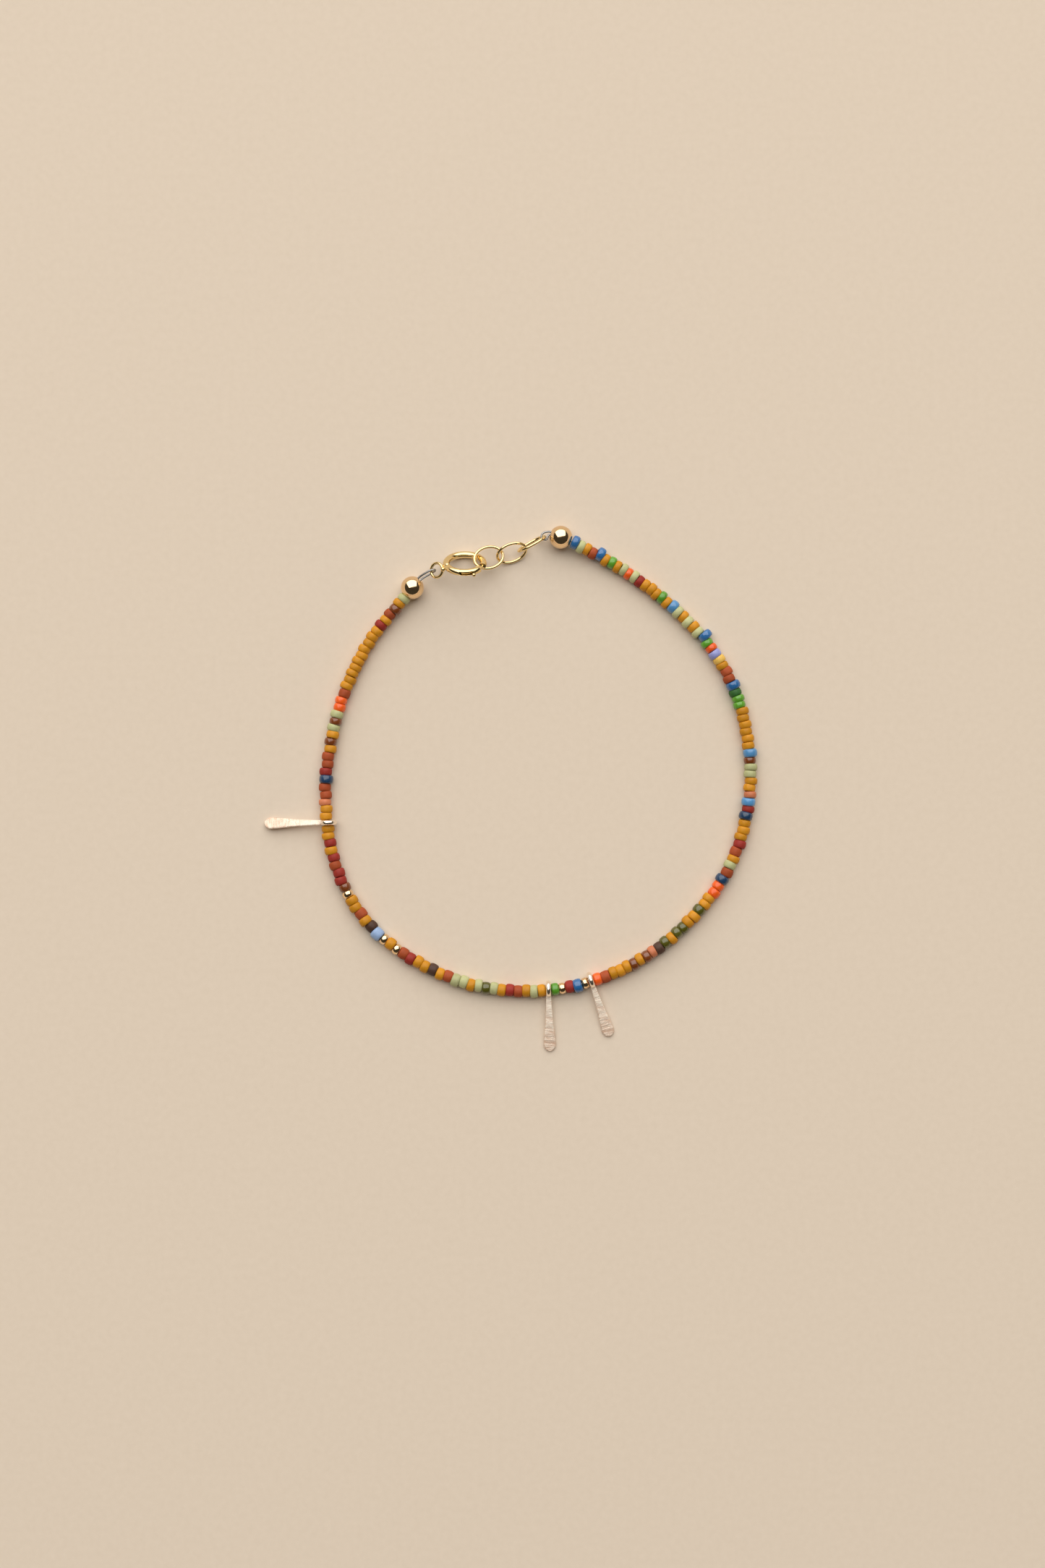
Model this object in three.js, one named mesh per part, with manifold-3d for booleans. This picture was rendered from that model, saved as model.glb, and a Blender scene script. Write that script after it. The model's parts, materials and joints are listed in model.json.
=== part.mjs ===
// Beaded anklet: a closed loop of seed beads on beading wire, with five gold spacer beads, three
// hammered gold drops, a gold bead at each end, and a spring-ring clasp hooked on three chain links.
// Millimetres, +Z up. It lies on the plane z = 0, with the clasp towards +Y.
import * as THREE from "three";
import { mergeVertices } from "three/addons/utils/BufferGeometryUtils.js";
import Module from "manifold-3d";

// Driving dimensions
const SEED_DIAMETER = 2.2;
const WIRE_DIAMETER = 0.36;
const SEAT_GAP = 0.17;

const END_BEAD_DIAMETER = 4.0;
const END_BEAD_BORE = 1.5;
const SPACER_DIAMETER = 2.0;
const SPACER_LENGTH = 1.1;
const SPACER_BORE = 1.1;
const SPACER_LIP = 0.2;

const DROP_LOOP_DIAMETER = 3.0;
const DROP_LOOP_SHIFT = 0.25;
const DROP_WIRE = 0.78;
const DROP_THICKNESS = 0.42;
const DROP_TIP_WIDTH = 2.2;

const LINK_LENGTH = 5.7;
const LINK_WIDTH = 4.3;
const LINK_WIRE = 0.54;

const CLASP_RADIUS = 3.2;
const CLASP_TUBE_DIAMETER = 1.2;
const CLASP_BORE = 0.76;
const CLASP_TILT = 56;
const BOLT_DIAMETER = 0.48;
const BOLT_TRAVEL = 30;
const TRIGGER_STEM_DIAMETER = 0.4;
const TRIGGER_STANDOFF = 0.45;
const TRIGGER_HEAD_DIAMETER = 0.66;
const TRIGGER_TOP_DIAMETER = 0.46;
const TRIGGER_HEAD_HEIGHT = 0.5;
const EYELET_RADIUS = 1.225;
const EYELET_WIRE = 0.5;
const EYELET_TILT = 35;

// The way of the string from the left end bead, down the left side and round to the right end bead:
// x, y and the height of the bead centres
const LYING = SEED_DIAMETER / 2;
const END_HEIGHT = END_BEAD_DIAMETER / 2;
const ROUTE = [
  [-16.9, 34.65, END_HEIGHT],
  [-19.55, 31.5, 1.62],
  [-23.75, 26.3, 1.2],
  [-27.0, 20.55, 1.11],
  [-29.45, 14.6, LYING],
  [-30.95, 8.3, LYING],
  [-31.9, 1.95, LYING],
  [-31.8, -4.6, LYING],
  [-30.75, -11.2, LYING],
  [-28.4, -17.65, LYING],
  [-24.6, -23.2, LYING],
  [-19.7, -27.7, LYING],
  [-13.85, -31.1, LYING],
  [-7.65, -33.6, LYING],
  [-1.2, -34.75, LYING],
  [5.25, -34.95, LYING],
  [11.55, -33.95, LYING],
  [17.6, -32.0, LYING],
  [23.2, -29.1, LYING],
  [28.25, -25.4, LYING],
  [32.6, -21.0, LYING],
  [36.45, -16.05, LYING],
  [39.2, -10.4, LYING],
  [40.85, -4.3, LYING],
  [41.5, 1.95, LYING],
  [41.05, 8.2, LYING],
  [39.7, 14.35, LYING],
  [37.2, 20.35, LYING],
  [33.65, 25.6, LYING],
  [29.2, 30.3, LYING],
  [24.1, 34.6, 1.11],
  [18.55, 38.35, 1.2],
  [12.85, 41.45, 1.65],
  [10.75, 42.6, 1.9],
  [8.7, 43.35, END_HEIGHT],
];

// Gold spacer beads, by distance along the string
const SPACERS = [57.58, 67.65, 70.38, 100.55, 104.66];
// Distance along the string, heading of the paddle in degrees and full length of each drop
const DROPS = [
  { name: "drop_a", at: 44.6, heading: 180.8, twist: 20, length: 12.6 },
  { name: "drop_b", at: 98.15, heading: -88.5, twist: 0, length: 12.35 },
  { name: "drop_c", at: 105.72, heading: -71.2, twist: 0, length: 11.85 },
];

// Centre, and turn, pitch and roll in degrees, of each chain link
const LINKS = [
  { name: "chain_link_1", centre: [-3.75, 39.84, 1.95], turn: 18, pitch: 12, roll: -7 },
  { name: "chain_link_2", centre: [0.22, 40.7, 1.53], turn: 20, pitch: 0, roll: 42 },
  { name: "chain_link_3", centre: [3.66, 42.23, 2.15], turn: 28.9, pitch: -1.4, roll: 104 },
];

const CLASP_CENTRE = [-7.83, 38.7, 3.25];
const EYELET_CENTRE = [-12.66, 37.56, 3.1];
// Angles round the clasp ring, in degrees: its gap, the trigger and the bolt's two ends at rest
const GAP_UPPER_END = -16;
const GAP_LOWER_END = -40;
const TRIGGER_ANGLE = -68;
const BOLT_TIP = -11;
const BOLT_TAIL = -100;
const EYELET_ANGLE = 197;

const GOLD = { color: 0xd9a866, roughness: 0.22, metalness: 1 };
const ROSE_GOLD = { color: 0xd8a888, roughness: 0.3, metalness: 1 };
const STEEL_WIRE = { color: 0x8d8c88, roughness: 0.4, metalness: 1 };
const SEED_GLASS = { color: 0xc08018, roughness: 0.5, metalness: 0 };

const { degToRad } = THREE.MathUtils;
const wasm = await Module();
wasm.setup();

// Solids for joining and cutting
function bareGeometry(geometry) {
  const bare = geometry.clone();
  bare.deleteAttribute("normal");
  bare.deleteAttribute("uv");
  return mergeVertices(bare, 1e-4);
}

function solid(geometry) {
  const bare = bareGeometry(geometry);
  const vertProperties = new Float32Array(bare.attributes.position.array);
  const triVerts = new Uint32Array(bare.index.array);
  return new wasm.Manifold(new wasm.Mesh({ numProp: 3, vertProperties, triVerts }));
}

function geometryOf(body) {
  const mesh = body.getMesh();
  const geometry = new THREE.BufferGeometry();
  geometry.setAttribute("position", new THREE.BufferAttribute(mesh.vertProperties, 3));
  geometry.setIndex(new THREE.BufferAttribute(mesh.triVerts, 1));
  geometry.computeVertexNormals();
  return geometry;
}

function piece(name, geometry, look) {
  const mesh = new THREE.Mesh(geometry, new THREE.MeshStandardMaterial(look));
  mesh.name = name;
  return mesh;
}

// Curves
class ArcPath extends THREE.Curve {
  constructor(radius, from, to) {
    super();
    Object.assign(this, { radius, from, to });
  }
  getPoint(t, target = new THREE.Vector3()) {
    const angle = degToRad(this.from + (this.to - this.from) * t);
    return target.set(this.radius * Math.cos(angle), this.radius * Math.sin(angle), 0);
  }
}

class OvalPath extends THREE.Curve {
  constructor(halfLength, halfWidth) {
    super();
    Object.assign(this, { halfLength, halfWidth });
  }
  getPoint(t, target = new THREE.Vector3()) {
    const angle = 2 * Math.PI * t;
    return target.set(this.halfLength * Math.cos(angle), this.halfWidth * Math.sin(angle), 0);
  }
}

class PartOfPath extends THREE.Curve {
  constructor(path, from, to) {
    super();
    Object.assign(this, { path, from, to });
  }
  getPoint(t, target = new THREE.Vector3()) {
    const distance = this.from + (this.to - this.from) * t;
    return this.path.getPointAt(distance / this.path.getLength(), target);
  }
}

const route = new THREE.CatmullRomCurve3(
  ROUTE.map((point) => new THREE.Vector3(...point)),
  false,
  "catmullrom",
  0.5,
);
route.arcLengthDivisions = 2000;
const routeLength = route.getLength();

// A regular section that stands on one of its flats, given by the circle inside it
function flatSection(radius, sides) {
  const corner = radius / Math.cos(Math.PI / sides);
  const points = [];
  for (let k = 0; k < sides; k++) {
    const angle = (2 * Math.PI * (k + 0.5)) / sides;
    points.push(new THREE.Vector2(corner * Math.cos(angle), corner * Math.sin(angle)));
  }
  return new THREE.Shape(points);
}

function rod(path, diameter, steps, sides = 8) {
  const settings = { steps, extrudePath: path, bevelEnabled: false };
  return new THREE.ExtrudeGeometry(flatSection(diameter / 2, sides), settings);
}

// Stretches of seed beads: all of the string that the gold pieces on it leave free
function seedStretches() {
  const onString = [
    ...SPACERS.map((at) => ({ at, half: SPACER_LENGTH / 2 })),
    ...DROPS.map(({ at }) => ({ at, half: DROP_WIRE / 2 })),
  ].sort((a, b) => a.at - b.at);
  const endSeat = Math.sqrt(END_BEAD_DIAMETER ** 2 - END_BEAD_BORE ** 2) / 2 + SEAT_GAP;
  const stretches = [];
  let from = endSeat;
  for (const { at, half } of onString) {
    const to = at - half - SEAT_GAP;
    if (to > from) stretches.push({ from, to });
    from = at + half + SEAT_GAP;
  }
  stretches.push({ from, to: routeLength - endSeat });
  return stretches;
}

// Seed beads, as one bar for each stretch, on the wire that runs through every bead
function beadString() {
  const barStep = 5.5;
  const wireStep = 2.6;
  const wireEnd = 0.3;
  const wirePath = new PartOfPath(route, wireEnd, routeLength - wireEnd);
  let body = solid(rod(wirePath, WIRE_DIAMETER, Math.round(routeLength / wireStep)));
  for (const { from, to } of seedStretches()) {
    const steps = Math.max(1, Math.round((to - from) / barStep));
    body = body.add(solid(rod(new PartOfPath(route, from, to), SEED_DIAMETER, steps)));
  }
  return piece("bead_string", geometryOf(body), SEED_GLASS);
}

// Places a turned bead on the string with its bore along the wire
function threadOn(mesh, distance) {
  const u = distance / routeLength;
  mesh.position.copy(route.getPointAt(u));
  mesh.quaternion.setFromUnitVectors(new THREE.Vector3(0, 1, 0), route.getTangentAt(u));
  return mesh;
}

function endBead(name, distance) {
  const radius = END_BEAD_DIAMETER / 2;
  const mouth = Math.asin(END_BEAD_BORE / 2 / radius);
  const rings = 8;
  const profile = [];
  for (let k = 0; k <= rings; k++) {
    const angle = -Math.PI + mouth + ((Math.PI - 2 * mouth) * k) / rings;
    profile.push(new THREE.Vector2(-radius * Math.sin(angle), radius * Math.cos(angle)));
  }
  profile.push(profile[0].clone());
  return threadOn(piece(name, new THREE.LatheGeometry(profile, 14), GOLD), distance);
}

function spacerBead(name, distance) {
  const half = SPACER_LENGTH / 2;
  const bore = SPACER_BORE / 2;
  const rim = bore + SPACER_LIP;
  const belly = SPACER_DIAMETER / 2;
  const profile = [
    [bore, -half],
    [rim, -half],
    [belly, -half / 3],
    [belly, half / 3],
    [rim, half],
    [bore, half],
    [bore, -half],
  ];
  const outline = profile.map(([r, y]) => new THREE.Vector2(r, y));
  return threadOn(piece(name, new THREE.LatheGeometry(outline, 12), GOLD), distance);
}

// A drop is one hammered wire: a round loop over the string, and a flat paddle that leans from the
// middle of the loop down to the surface, and may be twisted against its loop
function drop({ name, at, heading, twist, length }) {
  const loopHeight = DROP_LOOP_DIAMETER / 2;
  const reach = length - loopHeight;
  const turn = degToRad(twist);
  const tipHeight = (DROP_THICKNESS * Math.cos(turn) + DROP_TIP_WIDTH * Math.sin(turn)) / 2;
  const lean = Math.atan((loopHeight - tipHeight) / reach);
  const bend = (DROP_LOOP_DIAMETER - DROP_WIRE) / 2;
  const loop = new THREE.TorusGeometry(bend, DROP_WIRE / 2, 8, 16);
  loop.rotateX(Math.PI / 2);
  const paddle = new THREE.ExtrudeGeometry(paddlePlan(bend, reach / Math.cos(lean)), {
    depth: DROP_THICKNESS,
    bevelEnabled: false,
    curveSegments: 6,
  });
  paddle.translate(0, 0, -DROP_THICKNESS / 2);
  paddle.rotateX(turn);
  paddle.rotateY(lean);

  const shape = geometryOf(solid(loop).add(solid(paddle)));
  shape.translate(-DROP_LOOP_SHIFT, 0, 0);
  const mesh = piece(name, shape, ROSE_GOLD);
  const seat = route.getPointAt(at / routeLength);
  mesh.position.set(seat.x, seat.y, loopHeight);
  mesh.rotation.z = degToRad(heading);
  return mesh;
}

// Plan of a paddle from inside the loop's wire to its round tip, with a row for each place along its
// edge: share of the way to the tip's round end, and half width
function paddlePlan(start, reach) {
  const tip = DROP_TIP_WIDTH / 2;
  const roundEnd = reach - tip;
  const edge = [
    { share: 0.06, half: 0.44 },
    { share: 0.3, half: 0.6 },
    { share: 0.58, half: 0.75 },
    { share: 0.8, half: 0.97 },
  ];
  const along = ({ share }) => start + share * (roundEnd - start);
  const neck = DROP_WIRE / 2;
  const plan = new THREE.Shape();
  plan.moveTo(start, -neck);
  edge.forEach((row) => plan.lineTo(along(row), -row.half));
  plan.absarc(roundEnd, 0, tip, -Math.PI / 2, Math.PI / 2, false);
  edge.toReversed().forEach((row) => plan.lineTo(along(row), row.half));
  plan.lineTo(start, neck);
  return plan;
}

function chainLink({ name, centre, turn, pitch, roll }) {
  const oval = new OvalPath((LINK_LENGTH - LINK_WIRE) / 2, (LINK_WIDTH - LINK_WIRE) / 2);
  const mesh = piece(name, new THREE.TubeGeometry(oval, 20, LINK_WIRE / 2, 6, true), GOLD);
  mesh.geometry = bareGeometry(mesh.geometry);
  mesh.position.set(...centre);
  mesh.rotation.set(degToRad(roll), degToRad(pitch), degToRad(turn), "ZYX");
  return mesh;
}

// The ends of the wire, turned round the eyelet on the left and round the third link on the right
function wireLoop(name, points) {
  const path = new THREE.CatmullRomCurve3(points.map((point) => new THREE.Vector3(...point)));
  return piece(name, rod(path, WIRE_DIAMETER, 24, 6), STEEL_WIRE);
}

const LEFT_LOOP = [
  [-16.84, 35.12, 2.04],
  [-15.82, 36.35, 2.2],
  [-14.7, 37.05, 2.75],
  [-13.7, 37.55, 3.02],
  [-13.0, 37.68, 2.7],
  [-13.1, 37.45, 2.05],
  [-14.2, 36.85, 1.75],
  [-15.42, 36.01, 2.1],
  [-16.44, 34.79, 2.04],
];
const RIGHT_LOOP = [
  [8.41, 43.73, 2.0],
  [6.91, 44.28, 2.1],
  [6.2, 44.25, 2.15],
  [5.57, 43.98, 2.2],
  [5.34, 43.16, 2.2],
  [6.15, 42.93, 2.15],
  [6.42, 43.35, 2.1],
  [6.85, 43.78, 2.08],
  [8.24, 43.24, 2.0],
];

// Spring-ring clasp: a hollow ring with a gap, and an eyelet soldered on by a collar
const claspFrame = new THREE.Matrix4().compose(
  new THREE.Vector3(...CLASP_CENTRE),
  new THREE.Quaternion().setFromEuler(new THREE.Euler(degToRad(-CLASP_TILT), 0, 0)),
  new THREE.Vector3(1, 1, 1),
);

function claspRing() {
  const section = new THREE.Shape().absarc(0, 0, CLASP_TUBE_DIAMETER / 2, 0, 2 * Math.PI, false);
  section.holes.push(new THREE.Path().absarc(0, 0, CLASP_BORE / 2, 0, 2 * Math.PI, true));
  const tube = new THREE.ExtrudeGeometry(section, {
    steps: 26,
    extrudePath: new ArcPath(CLASP_RADIUS, GAP_UPPER_END, GAP_LOWER_END + 360),
    bevelEnabled: false,
    curveSegments: 5,
  });
  const body = solid(tube).subtract(solid(triggerSlot())).add(solid(eyelet())).add(solid(collar()));
  return piece("clasp_ring", geometryOf(body), GOLD);
}

// The slot that the trigger runs along, cut through the outer wall only
function triggerSlot() {
  const margin = 6;
  const width = 0.7;
  const first = degToRad(TRIGGER_ANGLE - BOLT_TRAVEL - margin);
  const last = degToRad(TRIGGER_ANGLE + margin);
  const outside = CLASP_RADIUS + CLASP_TUBE_DIAMETER;
  const shape = new THREE.Shape();
  shape.absarc(0, 0, CLASP_RADIUS, first, last, false);
  shape.absarc(0, 0, outside, last, first, true);
  const slot = new THREE.ExtrudeGeometry(shape, { depth: width, bevelEnabled: false, curveSegments: 5 });
  return slot.translate(0, 0, -width / 2);
}

function eyelet() {
  const ring = new THREE.TorusGeometry(EYELET_RADIUS, EYELET_WIRE / 2, 6, 16);
  ring.rotateY(degToRad(-EYELET_TILT));
  ring.translate(...EYELET_CENTRE);
  return ring.applyMatrix4(claspFrame.clone().invert());
}

function collar() {
  const reach = 0.85;
  const radius = 0.44;
  const tubeCentre = new ArcPath(CLASP_RADIUS, EYELET_ANGLE, EYELET_ANGLE).getPoint(0);
  const tilt = degToRad(EYELET_TILT);
  const wireCentre = new THREE.Vector3(...EYELET_CENTRE)
    .add(new THREE.Vector3(Math.cos(tilt), 0, Math.sin(tilt)).multiplyScalar(EYELET_RADIUS))
    .applyMatrix4(claspFrame.clone().invert());
  const place = wireCentre.sub(tubeCentre).setLength(reach).add(tubeCentre);
  return new THREE.SphereGeometry(radius, 10, 6).translate(place.x, place.y, place.z);
}

// The bolt slides inside the ring across its gap, and its trigger stands out through the slot
function claspBolt() {
  const bar = rod(new ArcPath(CLASP_RADIUS, BOLT_TAIL, BOLT_TIP), BOLT_DIAMETER, 12);
  const stemTop = CLASP_RADIUS + CLASP_TUBE_DIAMETER / 2 + TRIGGER_STANDOFF;
  const stemLength = stemTop - CLASP_RADIUS + TRIGGER_HEAD_HEIGHT / 2;
  const stemRadius = TRIGGER_STEM_DIAMETER / 2;
  const stem = new THREE.CylinderGeometry(stemRadius, stemRadius, stemLength, 8);
  stem.translate(0, CLASP_RADIUS + stemLength / 2, 0);
  const topRadius = TRIGGER_TOP_DIAMETER / 2;
  const head = new THREE.CylinderGeometry(topRadius, TRIGGER_HEAD_DIAMETER / 2, TRIGGER_HEAD_HEIGHT, 10);
  head.translate(0, stemTop + TRIGGER_HEAD_HEIGHT / 2, 0);
  const upright = degToRad(TRIGGER_ANGLE - 90);
  const body = solid(bar).add(solid(stem.rotateZ(upright))).add(solid(head.rotateZ(upright)));
  return piece("clasp_bolt", geometryOf(body), GOLD);
}

const clasp = new THREE.Group();
clasp.applyMatrix4(claspFrame);
clasp.add(claspRing(), claspBolt());

const anklet = new THREE.Group();
anklet.add(
  beadString(),
  endBead("end_bead_left", 0),
  endBead("end_bead_right", routeLength),
  ...SPACERS.map((distance, k) => spacerBead(`spacer_bead_${k + 1}`, distance)),
  ...DROPS.map(drop),
  ...LINKS.map(chainLink),
  wireLoop("wire_loop_left", LEFT_LOOP),
  wireLoop("wire_loop_right", RIGHT_LOOP),
  clasp,
);

export default anklet;
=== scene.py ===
# %% [markdown]
# A beaded anklet
#
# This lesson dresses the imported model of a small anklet: one hundred and fifty-three glass seed beads
# on a steel wire, with gold beads, three hammered drops and a spring-ring clasp. The frame below holds
# every piece at its true size and place, so nothing has to be fitted. Each cell makes one kind of piece
# the way a jeweller does, and then gives it a finish.

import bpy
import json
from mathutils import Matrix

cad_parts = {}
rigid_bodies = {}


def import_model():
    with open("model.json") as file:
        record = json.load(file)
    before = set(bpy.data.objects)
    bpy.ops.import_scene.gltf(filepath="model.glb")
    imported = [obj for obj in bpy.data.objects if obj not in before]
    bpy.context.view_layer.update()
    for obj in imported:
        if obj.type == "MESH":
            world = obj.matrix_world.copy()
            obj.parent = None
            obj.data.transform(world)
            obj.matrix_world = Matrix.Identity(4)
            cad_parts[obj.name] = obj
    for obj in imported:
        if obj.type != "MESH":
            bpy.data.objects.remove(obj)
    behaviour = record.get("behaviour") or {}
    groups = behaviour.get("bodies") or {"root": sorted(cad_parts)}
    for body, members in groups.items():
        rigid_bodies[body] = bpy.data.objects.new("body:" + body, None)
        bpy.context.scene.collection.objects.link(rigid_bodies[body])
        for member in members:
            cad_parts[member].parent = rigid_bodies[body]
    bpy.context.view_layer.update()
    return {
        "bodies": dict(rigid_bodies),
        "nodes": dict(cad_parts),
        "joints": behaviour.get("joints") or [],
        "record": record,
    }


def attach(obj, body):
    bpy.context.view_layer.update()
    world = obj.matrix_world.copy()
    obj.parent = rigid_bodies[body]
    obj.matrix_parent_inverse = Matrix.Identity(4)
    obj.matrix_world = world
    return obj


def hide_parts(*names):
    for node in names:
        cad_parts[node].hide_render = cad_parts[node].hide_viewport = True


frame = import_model()

# %% [markdown]
# The maker's unit is the millimetre, and Blender's is the metre. Meshes are modelled in millimetres and
# scaled once, when a piece is finished. Colours are written as the eye sees them on a screen and turned
# into the linear values that a shader needs.

# %% Units, colours and tools
import bisect
import json
import math
import random

import bmesh
import bpy
from mathutils import Matrix, Vector

MM = 0.001
FULL_TURN = 2 * math.pi
UPRIGHT = Vector((0, 0, 1))
scene = bpy.context.scene


def linear(red, green, blue):
    """A screen colour, 0 to 255, in linear light."""

    def channel(value):
        share = value / 255
        return share / 12.92 if share <= 0.04045 else ((share + 0.055) / 1.055) ** 2.4

    return (channel(red), channel(green), channel(blue), 1.0)


# %% [markdown]
# A finish is a small network of shader nodes. Writing the network as Python sums is easier to read than
# a list of links, so a socket is wrapped in a class that knows the operators: `1 - mask` adds a Math
# node and gives back its socket. Every other node comes from one method, `node`.


# %% Shader sums
class Signal:
    """A shader socket that takes Python operators."""

    def __init__(self, finish, socket):
        self.finish = finish
        self.socket = socket

    def math(self, operation, first, second):
        return self.finish.node("ShaderNodeMath", {"operation": operation}, {0: first, 1: second})

    def __add__(self, other):
        return self.math("ADD", self, other)

    def __mul__(self, other):
        return self.math("MULTIPLY", self, other)

    def __sub__(self, other):
        return self.math("SUBTRACT", self, other)

    def __rsub__(self, other):
        return self.math("SUBTRACT", other, self)

    __radd__ = __add__
    __rmul__ = __mul__


class Finish:
    """A material, with the nodes that feed its Principled shader."""

    def __init__(self, name):
        self.material = bpy.data.materials.new(name)
        self.material.use_nodes = True
        self.tree = self.material.node_tree
        self.shader = self.tree.nodes["Principled BSDF"]

    def node(self, kind, settings=None, sockets=None, output=0):
        made = self.tree.nodes.new(kind)
        for setting, value in (settings or {}).items():
            setattr(made, setting, value)
        for socket, value in (sockets or {}).items():
            self.feed(made.inputs[socket], value)
        return Signal(self, made.outputs[output])

    def feed(self, socket, value):
        if isinstance(value, Signal):
            self.tree.links.new(value.socket, socket)
        else:
            socket.default_value = value

    def shade(self, sockets):
        for socket, value in sockets.items():
            self.feed(self.shader.inputs[socket], value)
        print("finish:", self.material.name, "with", len(self.tree.nodes), "nodes")
        return self.material

    def object_place(self):
        return self.node("ShaderNodeTexCoord", output="Object")

    def attribute(self, name, output="Fac"):
        return self.node("ShaderNodeAttribute", {"attribute_name": name}, output=output)

    def noise(self, place, scale, detail=2.0):
        return self.node(
            "ShaderNodeTexNoise", None, {"Vector": place, "Scale": scale, "Detail": detail}
        )

    def mix(self, factor, first, second):
        return self.node(
            "ShaderNodeMix", {"data_type": "RGBA"}, {0: factor, 6: first, 7: second}, output=2
        )

    def bump(self, height, strength, depth):
        return self.node(
            "ShaderNodeBump", None, {"Strength": strength, "Distance": depth * MM, "Height": height}
        )


# %% [markdown]
# The anklet lies on a pale surface and is seen from straight above, through a 50 mm lens. The floor is a
# wide dish: flat under the anklet, with a rim that sweeps up far away, so that polished gold has
# something pale to mirror near the horizon and a low view has no hard edge behind it.

# %% Camera
LENS = 50.0
SENSOR = 36.0
VIEW_CENTRE = (2.09, 0.81)
CAMERA_HEIGHT = 377.5
CLIP_START = 10.0

camera_data = bpy.data.cameras.new("camera_above")
camera_data.lens = LENS
camera_data.sensor_width = SENSOR
camera_data.clip_start = CLIP_START * MM
camera = bpy.data.objects.new("camera_above", camera_data)
camera.location = Vector((*VIEW_CENTRE, CAMERA_HEIGHT)) * MM
scene.collection.objects.link(camera)
scene.camera = camera
scene.view_settings.view_transform = "Standard"
print("camera stands", CAMERA_HEIGHT, "mm above the floor")

# %% Floor
FLAT_RADIUS = 600.0
SWEEP_RADIUS = 400.0
SWEEP_ANGLE = math.radians(60)
SWEEP_STEPS = 12
FLOOR_SIDES = 72
SEAM = 0.01

bm = bmesh.new()
middle = bm.verts.new((0, 0, 0))
edge_of_flat = bm.verts.new((FLAT_RADIUS, 0, 0))
bm.edges.new((middle, edge_of_flat))
bmesh.ops.spin(
    bm,
    geom=[edge_of_flat],
    cent=(FLAT_RADIUS, 0, SWEEP_RADIUS),
    axis=(0, -1, 0),
    angle=SWEEP_ANGLE,
    steps=SWEEP_STEPS,
)
bmesh.ops.spin(
    bm,
    geom=bm.verts[:] + bm.edges[:],
    cent=(0, 0, 0),
    axis=(0, 0, 1),
    angle=FULL_TURN,
    steps=FLOOR_SIDES,
    use_merge=True,
)
bmesh.ops.remove_doubles(bm, verts=bm.verts, dist=SEAM)
bmesh.ops.scale(bm, vec=(MM, MM, MM), verts=bm.verts)
floor_mesh = bpy.data.meshes.new("pale_floor")
bm.to_mesh(floor_mesh)
bm.free()
floor_mesh.shade_smooth()
floor = bpy.data.objects.new("pale_floor", floor_mesh)
scene.collection.objects.link(floor)
print("floor:", len(floor_mesh.polygons), "faces")

# %% Floor finish
CREAM_SCALE = 900.0
CREAM_DEEP = (0.74, 0.63, 0.51, 1)
CREAM_PALE = (0.79, 0.68, 0.56, 1)

plaster = Finish("pale_cream")
mottle = plaster.noise(plaster.object_place(), CREAM_SCALE)
floor_mesh.materials.append(
    plaster.shade(
        {
            "Base Color": plaster.mix(mottle, CREAM_DEEP, CREAM_PALE),
            "Roughness": 0.9,
            "Specular IOR Level": 0.1,
        }
    )
)

# %% [markdown]
# One large window lights the anklet, high up and a little behind it. A polished bead shows the room:
# the bright window, the dark ceiling round it and the pale table below, so the light is one broad
# rectangle in a dim world and not several lamps.

# %% Light
WINDOW_TILT = math.radians(42)
WINDOW_SWING = math.radians(4)
WINDOW_ROLL = math.radians(12)
WINDOW_DISTANCE = 2500.0
WINDOW_SIZE = (4800.0, 4000.0)
WINDOW_POWER = 146.0
DAYLIGHT = (1.0, 0.97, 0.93)
ROOM_COLOUR = (0.05, 0.045, 0.035, 1)

window_data = bpy.data.lights.new("window", "AREA")
window_data.shape = "RECTANGLE"
window_data.size = WINDOW_SIZE[0] * MM
window_data.size_y = WINDOW_SIZE[1] * MM
window_data.energy = WINDOW_POWER
window_data.color = DAYLIGHT
window = bpy.data.objects.new("window", window_data)
towards = Vector(
    (
        -math.sin(WINDOW_TILT) * math.sin(WINDOW_SWING),
        math.sin(WINDOW_TILT) * math.cos(WINDOW_SWING),
        math.cos(WINDOW_TILT),
    )
)
window.location = towards * WINDOW_DISTANCE * MM
facing = towards.to_track_quat("Z", "Y").to_matrix().to_4x4()
window.rotation_euler = (facing @ Matrix.Rotation(WINDOW_ROLL, 4, "Z")).to_euler()
scene.collection.objects.link(window)

world = bpy.data.worlds.new("dim_room")
world.use_nodes = True
world.node_tree.nodes["Background"].inputs["Color"].default_value = ROOM_COLOUR
scene.world = world
print("window of", WINDOW_SIZE, "mm at", WINDOW_DISTANCE, "mm")

# %% [markdown]
# Every piece ends the same way: doubles are merged, faces are turned outwards, millimetres become
# metres, the piece is tied to the body that it moves with, and the solid that it stands for is hidden.
# Round pieces start the same way too, as a profile that is spun about an axis like work on a lathe.

# %% Turning and finishing a piece
MERGE_DISTANCE = 1e-4
BEVEL_SEGMENTS = 2


def spin_profile(bm, profile, steps, closed):
    """Spins a profile of radii and heights about Z."""
    points = [bm.verts.new((radius, 0, height)) for radius, height in profile]
    pairs = list(zip(points, points[1:]))
    if closed:
        pairs = [(points[-1], points[0]), *pairs]
    lines = [bm.edges.new(pair) for pair in pairs]
    bmesh.ops.spin(
        bm,
        geom=points + lines,
        cent=(0, 0, 0),
        axis=UPRIGHT,
        angle=FULL_TURN,
        steps=steps,
        use_merge=True,
    )


def added(bm, before):
    """The vertices that were not there before."""
    return [vert for vert in bm.verts if vert not in before]


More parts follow.
